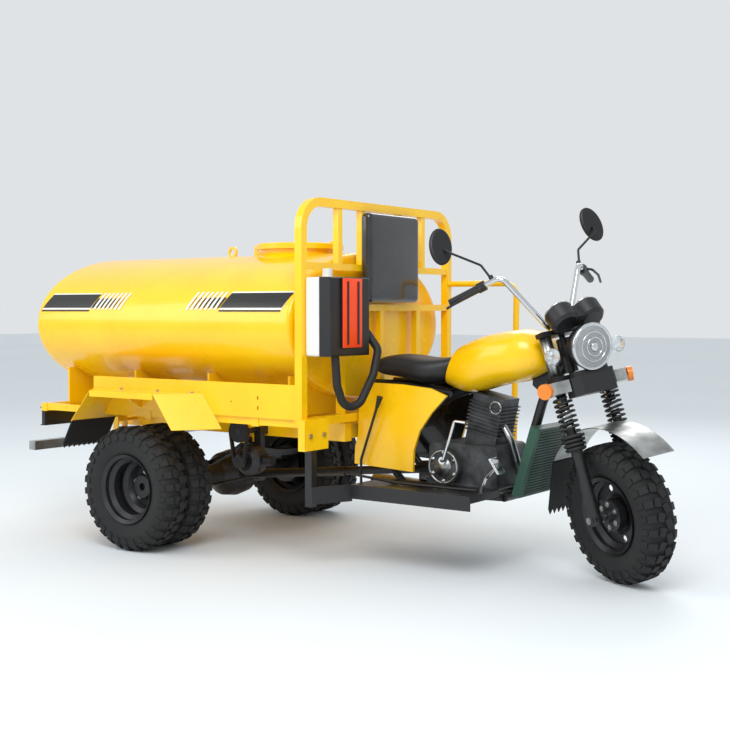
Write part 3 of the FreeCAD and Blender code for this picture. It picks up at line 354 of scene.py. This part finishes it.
def ring_of_nuts(bm, centre, axis, count, ring_r, depth):
    axis = Vector(axis).normalized()
    level = square_to(axis)
    for step in range(count):
        out = Matrix.Rotation(math.tau * step / count, 3, axis) @ level
        place = facing(Vector(centre) + out * ring_r, axis)
        add_disc(bm, NUT_R, depth, place, sides=6)
        add_disc(bm, NUT_R * 0.5, depth * 2, place, sides=12)


for side, body in ((-1, "rear_wheels_right"), (1, "rear_wheels_left")):
    bm = bmesh.new()
    ring_of_nuts(bm, (rear_x, side * 0.602, rear_z), (0, side, 0), 5, 0.068, 0.016)
    make_piece(f"{body}_nuts", bm, zinc_nut, body, smooth=False)
bm = bmesh.new()
for side in (-1, 1):
    out = 0.010 if side > 0 else 0.052
    ring_of_nuts(bm, front_hub + steer_left * side * out, steer_left, 6, 0.048, 0.008)
make_piece("front_hub_nuts", bm, zinc_nut, "front_wheel", smooth=False)

# %% [markdown]
# ## Fork springs
# Long black coils show on the fork. A coil is a row of small circles set along a helix, and each
# is bridged to the one before, so the wire stays round. The coils, with new boots below them,
# take the place of the plain CAD sleeves.

# %% Coils and boots
COIL_R, WIRE_R, COIL_TURNS = 36.0, 5.5, 7
SPRING_LOW, SPRING_HIGH, FORK_Y, FORK_AHEAD = 358.0, 514.0, 119.0, 50.0
SAMPLES = 20
# how far the wire climbs for each length that it goes round
COIL_CLIMB = 0.09


def coil(bm, side):
    rings = []
    total = COIL_TURNS * SAMPLES
    for step in range(total + 1):
        angle = math.tau * step / SAMPLES
        up = SPRING_LOW + WIRE_R + (SPRING_HIGH - SPRING_LOW - 2 * WIRE_R) * step / total
        centre = on_fork(FORK_AHEAD + COIL_R * math.cos(angle),
                         side * FORK_Y + COIL_R * math.sin(angle), up)
        along = fork_direction(-math.sin(angle), math.cos(angle), COIL_CLIMB)
        ring = bmesh.ops.create_circle(bm, cap_ends=False, segments=8, radius=WIRE_R * MM,
                                       matrix=facing(centre, along))["verts"]
        rings.append(ring)
        if step:
            edges = {e for v in rings[-2] + ring for e in v.link_edges
                     if all(w in rings[-2] for w in e.verts) or all(w in ring for w in e.verts)}
            bmesh.ops.bridge_loops(bm, edges=list(edges))
    for ring in (rings[0], rings[-1]):
        bmesh.ops.contextual_create(bm, geom=ring)


bm = bmesh.new()
for side in (-1, 1):
    coil(bm, side)
coils = make_piece("fork_coils", bm, black_enamel, "steering")
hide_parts("fork_springs")

bm = bmesh.new()
BOOT_LOW, BOOT_HIGH, BOOT_FOLDS = 286.0, 354.0, 4
BOOT_R, BOOT_FLARE, BOOT_CORE_R = 44, 2, 38
for side in (-1, 1):
    for fold in range(BOOT_FOLDS):
        up = BOOT_LOW + (BOOT_HIGH - BOOT_LOW) * (fold + 0.5) / BOOT_FOLDS
        place = facing(on_fork(FORK_AHEAD, side * FORK_Y, up), steer_up)
        add_disc(bm, (BOOT_R + fold * BOOT_FLARE) * MM, 11 * MM, place, 40)
        add_disc(bm, BOOT_CORE_R * MM, 17 * MM, place, 40)
make_piece("fork_boots", bm, moulded_rubber, "steering")

# name, radius, length and middle height in millimetres, finish and slot
FORK_TUBES = (("fork_stanchion_chrome", 21, 166, 436, chrome_plate, "chrome"),
              ("fork_shrouds", 25.5, 168, 684, rolled_steel, "steel"))
for name, radius, length, up, material, slot in FORK_TUBES:
    bm = bmesh.new()
    for side in (-1, 1):
        place = facing(on_fork(FORK_AHEAD, side * FORK_Y, up), steer_up)
        add_disc(bm, radius * MM, length * MM, place, 32)
    make_piece(name, bm, material, "steering")

# %% [markdown]
# ## Headlamp
# A chrome ring holds the glass. Two bright rings and a centre disc at its face stand for the
# reflector and the bulb, which are not modelled behind it.

# %% Lamp ring and reflector
# the lamp is level, so it leans against the fork by the steering head's own angle
LAMP_LEAN = math.radians(17.8)
LAMP_AXIS = fork_direction(math.cos(LAMP_LEAN), 0, -math.sin(LAMP_LEAN))
lamp_face = on_fork(186, 0, 678)


def ring(bm, centre, axis, radius, wire, sides=48):
    """A round hoop of wire about an axis."""
    before = set(bm.verts)
    profile = bmesh.ops.create_circle(bm, cap_ends=False, segments=12, radius=wire,
                                      matrix=Matrix.Translation(Vector((radius, 0, 0)))
                                      @ Matrix.Rotation(math.pi / 2, 4, "X"))["verts"]
    edges = list({e for v in profile for e in v.link_edges})
    bmesh.ops.spin(bm, geom=profile + edges, cent=(0, 0, 0), axis=(0, 0, 1), angle=math.tau,
                   steps=sides, use_merge=True)
    hoop = [v for v in bm.verts if v not in before]
    bmesh.ops.transform(bm, matrix=facing(centre, axis), verts=hoop)


bm = bmesh.new()
ring(bm, lamp_face, LAMP_AXIS, 0.091, 0.008)
make_piece("headlamp_ring", bm, chrome_plate, "steering")
bm = bmesh.new()
for depth, radius in ((0.0, 0.080), (0.004, 0.050)):
    ring(bm, lamp_face + LAMP_AXIS * (0.012 + depth), LAMP_AXIS, radius * 0.75, 0.003)
add_disc(bm, 0.022, 0.006, facing(lamp_face + LAMP_AXIS * 0.018, LAMP_AXIS), 32, 0.014)
make_piece("headlamp_reflector", bm, chrome_plate, "steering")

# %% [markdown]
# ## Gauges
# Each round drum shows a dark dial under a chrome bezel, with plain ticks and a pointer.

# %% Dials
GAUGE_LEAN = (-0.5, 0.0, 0.866)
TICKS, TICK_START, TICK_GAP = 11, -120, 24
gauge_up = fork_direction(*GAUGE_LEAN)
bezels, ticks = bmesh.new(), bmesh.new()
for y in (-66, 66):
    face = on_fork(150, y, 790) + gauge_up * 0.079
    ring(bezels, face, gauge_up, 0.056, 0.004)
    for step in range(TICKS):
        angle = math.radians(TICK_START + TICK_GAP * step)
        spot = facing(face, gauge_up, angle) @ Matrix.Translation(Vector((0, 0.044, 0.0008)))
        add_box(ticks, (0.0018, 0.008, 0.0012), spot)
    add_box(ticks, (0.0022, 0.036, 0.0012),
            facing(face, gauge_up, 0.7) @ Matrix.Translation(Vector((0, 0.014, 0.0012))))
make_piece("gauge_bezels", bezels, chrome_plate, "steering")
make_piece("gauge_ticks", ticks, white_plastic, "steering", smooth=False)

# %% [markdown]
# ## Mirror glass
# Each mirror's glass is a silvered oval on the rider's side of its shell.

# %% Two silvered ovals
silvered_glass = finish_of("silvered_mirror_glass", "#DDE3E6", "#D2D9DD", 30, 0.03, 0.02,
                           metallic=1.0, bump=0.0)
glasses = bmesh.new()
for side in (-1, 1):
    flip = Matrix.Diagonal((1, -side, 1, 1))
    shell = Matrix.Translation(Vector((-0.096, -0.394, 1.256))) @ Matrix.Rotation(-math.pi / 2, 4, "Y")
    shell = shell @ Matrix.Rotation(math.radians(102), 4, "Z") @ Matrix.Diagonal((1, 1.55, 1, 1))
    shell = fork_axes @ flip @ shell
    add_disc(glasses, 0.043, 0.002, shell @ Matrix.Translation(Vector((0, 0, 0.0225))), 48)
make_piece("mirror_glasses", glasses, silvered_glass, "steering")

# %% [markdown]
# ## Cooling fins
# An air-and-water-cooled engine carries thin fins round its barrel, and the cases have round
# covers with a raised rim.

# %% Engine fins and covers
FIN_COUNT, FIN_GAP = 9, 0.016
CYLINDER_LEAN = math.radians(12)
COVER_X, COVER_Z = 0.655, 0.440
bm = bmesh.new()
for fin in range(FIN_COUNT):
    up = 0.070 + FIN_GAP * fin
    base = Matrix.Translation(Vector((0.775, 0, 0.520))) @ Matrix.Rotation(CYLINDER_LEAN, 4, "Y")
    add_box(bm, (0.168, 0.164, 0.004), base @ Matrix.Translation(Vector((0, 0, up))))
make_piece("engine_fins", bm, cast_aluminium, "chassis", smooth=False)
bm = bmesh.new()
for side in (-1, 1):
    ring(bm, (COVER_X, side * 0.172, COVER_Z), (0, side, 0), 0.070, 0.005)
    add_disc(bm, 0.042, 0.008, facing((COVER_X, side * 0.173, COVER_Z), (0, side, 0)), 36)
    ring_of_nuts(bm, (COVER_X, side * 0.168, COVER_Z), (0, side, 0), 6, 0.062, 0.012)
    ring(bm, (0.860, side * 0.076, 0.700), (0, side, 0), 0.026, 0.004)
make_piece("engine_cover_rims", bm, rolled_steel, "chassis")

# %% [markdown]
# ## Radiator core
# Between its side tanks the radiator shows stacked flat tubes, drawn as thin slats.

# %% Radiator slats
SLATS, SLAT_LOW, SLAT_HIGH = 22, 0.018, 0.288
RADIATOR_LEAN = math.radians(16.5)
radiator_place = (Matrix.Translation(Vector((0.983, 0, 0.344)))
                  @ Matrix.Rotation(RADIATOR_LEAN, 4, "Y"))
bm = bmesh.new()
for slat in range(SLATS):
    up = SLAT_LOW + (SLAT_HIGH - SLAT_LOW) * slat / (SLATS - 1)
    add_box(bm, (0.004, 0.250, 0.005), radiator_place @ Matrix.Translation(Vector((0.036, 0, up))))
make_piece("radiator_slats", bm, green_enamel, "chassis", smooth=False)

# %% [markdown]
# ## Tank stripes
# A dark band with pale edges runs along the tank just above its middle, broken by two groups of
# slanted pale bars. A thin skin that follows the oval carries each one, so the stripe has an edge.

# %% Stripes on the tank's flanks
TANK_Z, TANK_HALF_H, TANK_HALF_W = 1.050, 0.340, 0.600
stripe_black = finish_of("printed_black_film", "#1C1B1A", "#232220", 8, 0.32, 0.05, bump=0.03)
stripe_pale = finish_of("printed_pale_film", "#F3EFE2", "#EAE6D8", 8, 0.32, 0.05, bump=0.03)


def flank(side, height, proud):
    """The tank's half-width at a height, pushed out by the film's thickness."""
    angle = math.asin((height - TANK_Z) / TANK_HALF_H)
    return side * (TANK_HALF_W + proud) * math.cos(angle)


def film(bm, side, start, end, low, high, slant, proud):
    rows = 6
    previous = None
    for row in range(rows + 1):
        z = low + (high - low) * row / rows
        shift = slant * row / rows
        y = flank(side, z, proud)
        pair = [bm.verts.new((start + shift, y, z)), bm.verts.new((end + shift, y, z))]
        if previous:
            bm.faces.new((previous[0], previous[1], pair[1], pair[0]))
        previous = pair


STRIPE_LOW, STRIPE_HIGH = 1.132, 1.198
SLANT = 0.035
BAND_ONE_END, BAND_TWO_START = -1.120, -0.268
BAR_PITCH = 0.029
BANDS = ((-1.470, BAND_ONE_END), (BAND_TWO_START, 0.090))
# how far the films stand off the steel, from the pale edge out to the pale bars
PALE_PROUD, DARK_PROUD, BAR_PROUD = 0.0016, 0.0026, 0.0030
EDGE_LOW, EDGE_HIGH = STRIPE_LOW - 0.009, STRIPE_HIGH + 0.006
dark, pale = bmesh.new(), bmesh.new()
for side in (-1, 1):
    for start, end in BANDS:
        film(pale, side, start, end, EDGE_LOW, EDGE_HIGH, SLANT, PALE_PROUD)
        film(dark, side, start, end, STRIPE_LOW, STRIPE_HIGH, SLANT, DARK_PROUD)
        film(dark, side, start - 0.006, end - 0.006, STRIPE_LOW - 0.017, STRIPE_LOW - 0.010,
             0.004, DARK_PROUD)
    for first, step in ((BAND_ONE_END, 1), (BAND_TWO_START, -1)):
        for bar in range(1, 8):
            x = first + step * BAR_PITCH * bar
            film(pale, side, x - 0.007, x + 0.007, EDGE_LOW, EDGE_HIGH, SLANT, BAR_PROUD)
            width = 0.010 * (1 - bar / 8)
            middle = x - step * BAR_PITCH / 2
            film(dark, side, middle - width, middle + width, STRIPE_LOW, STRIPE_HIGH - 0.02,
                 SLANT * 0.7, DARK_PROUD)
make_piece("tank_stripe_edges", pale, stripe_pale, "chassis", smooth=False)
make_piece("tank_stripes", dark, stripe_black, "chassis", smooth=False)

# %% [markdown]
# ## Air box trim
# The black box on the headboard has an orange moulded panel with plain dark ribs.

# %% Orange panel
bm = bmesh.new()
add_box(bm, (0.006, 0.138, 0.296), Matrix.Translation(Vector((0.367, -0.446, 1.109))))
bmesh.ops.bevel(bm, geom=bm.edges[:], offset=0.0024, segments=2, profile=0.5, affect="EDGES", material=-1)
make_piece("air_box_panel", bm, orange_abs, "chassis")
bm = bmesh.new()
for rib in range(2):
    add_box(bm, (0.004, 0.012, 0.27), Matrix.Translation(Vector((0.371, -0.482 + 0.075 * rib, 1.109))))
make_piece("air_box_ribs", bm, black_abs, "chassis", smooth=False)

# %% [markdown]
# ## Tail lamps and bolts
# Red and amber lenses fill the board behind. Bolts hold the corner brackets and the tops of the
# rear fenders.

# %% Rear lamps and bolts
BOARD_REAR_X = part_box("tail_light_board")[0].x
LAMP_Z, BRACKET_BOLT_Z, FENDER_TOP_Z = 0.579, 0.585, 0.749
reds, ambers, bolts = bmesh.new(), bmesh.new(), bmesh.new()
for side in (-1, 1):
    for target, y, width in ((reds, 0.44, 0.11), (ambers, 0.32, 0.09), (reds, 0.24, 0.05)):
        middle = Vector((BOARD_REAR_X + 0.008, side * y, LAMP_Z))
        add_box(target, (0.012, width, 0.066), Matrix.Translation(middle))
    for y in (0.50, 0.595):
        add_disc(bolts, 0.011, 0.010, facing((0.256, side * y, BRACKET_BOLT_Z), (1, 0, 0)), 6)
    for x in (-0.62, -0.86, -0.40):
        add_disc(bolts, 0.008, 0.008, facing((x, side * 0.63, FENDER_TOP_Z), (0, 0, 1)), 6)
for bm in (reds, ambers):
    bmesh.ops.bevel(bm, geom=bm.edges[:], offset=0.003, segments=2, profile=0.5, affect="EDGES", material=-1)
make_piece("tail_lamps", reds, red_lens, "chassis")
make_piece("rear_indicators", ambers, amber_lens, "chassis")
make_piece("frame_bolts", bolts, zinc_nut, "chassis", smooth=False)

# %% [markdown]
# ## Upholstery
# The saddle is foam under stretched vinyl, and it crowns in the middle. A copy of the CAD solid
# is merged, remeshed into even quads, smoothed and swollen most at its middle. No seam is drawn.

# %% Saddle and backrest
VOXEL = 0.007
SMOOTHINGS = 10


def upholster(node, name, swell):
    bm = bmesh.new()
    bm.from_mesh(nodes[node].data)
    bmesh.ops.remove_doubles(bm, verts=bm.verts, dist=0.0002)
    pad = make_piece(name, bm, vinyl, "chassis")
    remesh = pad.modifiers.new("even_quads", "REMESH")
    remesh.mode, remesh.voxel_size = "VOXEL", VOXEL
    graph = bpy.context.evaluated_depsgraph_get()
    pad.data = bpy.data.meshes.new_from_object(pad.evaluated_get(graph))
    pad.modifiers.clear()
    low = Vector([min(v.co[i] for v in pad.data.vertices) for i in range(3)])
    high = Vector([max(v.co[i] for v in pad.data.vertices) for i in range(3)])
    middle, half = (low + high) / 2, (high - low) / 2
    bm = bmesh.new()
    bm.from_mesh(pad.data)
    for _ in range(SMOOTHINGS):
        bmesh.ops.smooth_vert(bm, verts=bm.verts, factor=0.5,
                              use_axis_x=True, use_axis_y=True, use_axis_z=True)
    thin = min(range(3), key=lambda i: half[i])
    for vert in bm.verts:
        reach = [1 - min(1, abs((vert.co[i] - middle[i]) / half[i])) ** 2 for i in range(3)]
        others = [reach[i] for i in range(3) if i != thin]
        push = swell * others[0] * others[1]
        vert.co[thin] += math.copysign(push, vert.co[thin] - middle[thin])
    bm.to_mesh(pad.data)
    bm.free()
    for polygon in pad.data.polygons:
        polygon.use_smooth = True
    if not pad.data.materials:
        pad.data.materials.append(vinyl)
    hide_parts(node)
    return pad


upholster("seat", "saddle", 0.006)
back_pad = upholster("backrest", "back_pad", 0.007)
back_pad.data.materials[0] = film_wrap

# %% [markdown]
# ## Studio
# A pale floor and soft lamps show the object at a plain level. The camera stands low on the
# right-hand side ahead of the machine, a little over a metre from the ground.

# %% Floor
floor_bm = bmesh.new()
bmesh.ops.create_grid(floor_bm, x_segments=1, y_segments=1, size=40)
floor_mesh = bpy.data.meshes.new("studio_floor")
floor_bm.to_mesh(floor_mesh)
floor_bm.free()
floor = bpy.data.objects.new("studio_floor", floor_mesh)
bpy.context.collection.objects.link(floor)
floor_finish = finish_of("pale_studio_floor", "#E6EBEE", "#E2E8EC", 400, 0.7, 0.05, bump=0.0, patch_mm=3000)
floor_mesh.materials.append(floor_finish)

# %% [markdown]
# ## Light
# A big square lamp from the front right is the main light, and two weaker ones soften the far
# sides. A pale sky fills in the rest, so the colours render about as they are written.

# %% Lamps and sky
SKY_STRENGTH = 0.85
world = bpy.data.worlds.new("studio_sky")
bpy.context.scene.world = world
world.use_nodes = True
world.node_tree.nodes["Background"].inputs["Color"].default_value = linear("#F0F4F7")
world.node_tree.nodes["Background"].inputs["Strength"].default_value = SKY_STRENGTH


def soft_lamp(name, place, target, size, watts):
    light = bpy.data.lights.new(name, "AREA")
    light.shape, light.size, light.energy = "SQUARE", size, watts
    lamp = bpy.data.objects.new(name, light)
    lamp.location = place
    lamp.rotation_euler = (Vector(target) - Vector(place)).to_track_quat("-Z", "Y").to_euler()
    bpy.context.collection.objects.link(lamp)


soft_lamp("key_lamp", (2.5, -4.0, 5.0), (0, 0, 0.8), 3.0, 210)
soft_lamp("fill_lamp", (-4.0, -4.5, 3.5), (-0.5, 0, 0.8), 3.5, 90)
soft_lamp("rim_lamp", (-1.0, 4.5, 4.5), (0, 0, 0.8), 3.0, 90)

# %% [markdown]
# ## Camera
# The camera looks slightly down. It needs no roll, so its turn is an azimuth and a pitch.

# %% Camera
CAMERA_PLACE = (3.4237, -4.6402, 1.1294)
AZIMUTH, PITCH = math.radians(35.49), math.radians(2.68)
camera_data = bpy.data.cameras.new("camera")
camera_data.lens, camera_data.sensor_width = 59.74, 36
camera = bpy.data.objects.new("camera", camera_data)
camera.location = CAMERA_PLACE
camera.rotation_euler = (math.pi / 2 - PITCH, 0, AZIMUTH)
bpy.context.collection.objects.link(camera)
bpy.context.scene.camera = camera
bpy.context.scene.view_settings.view_transform = "Standard"
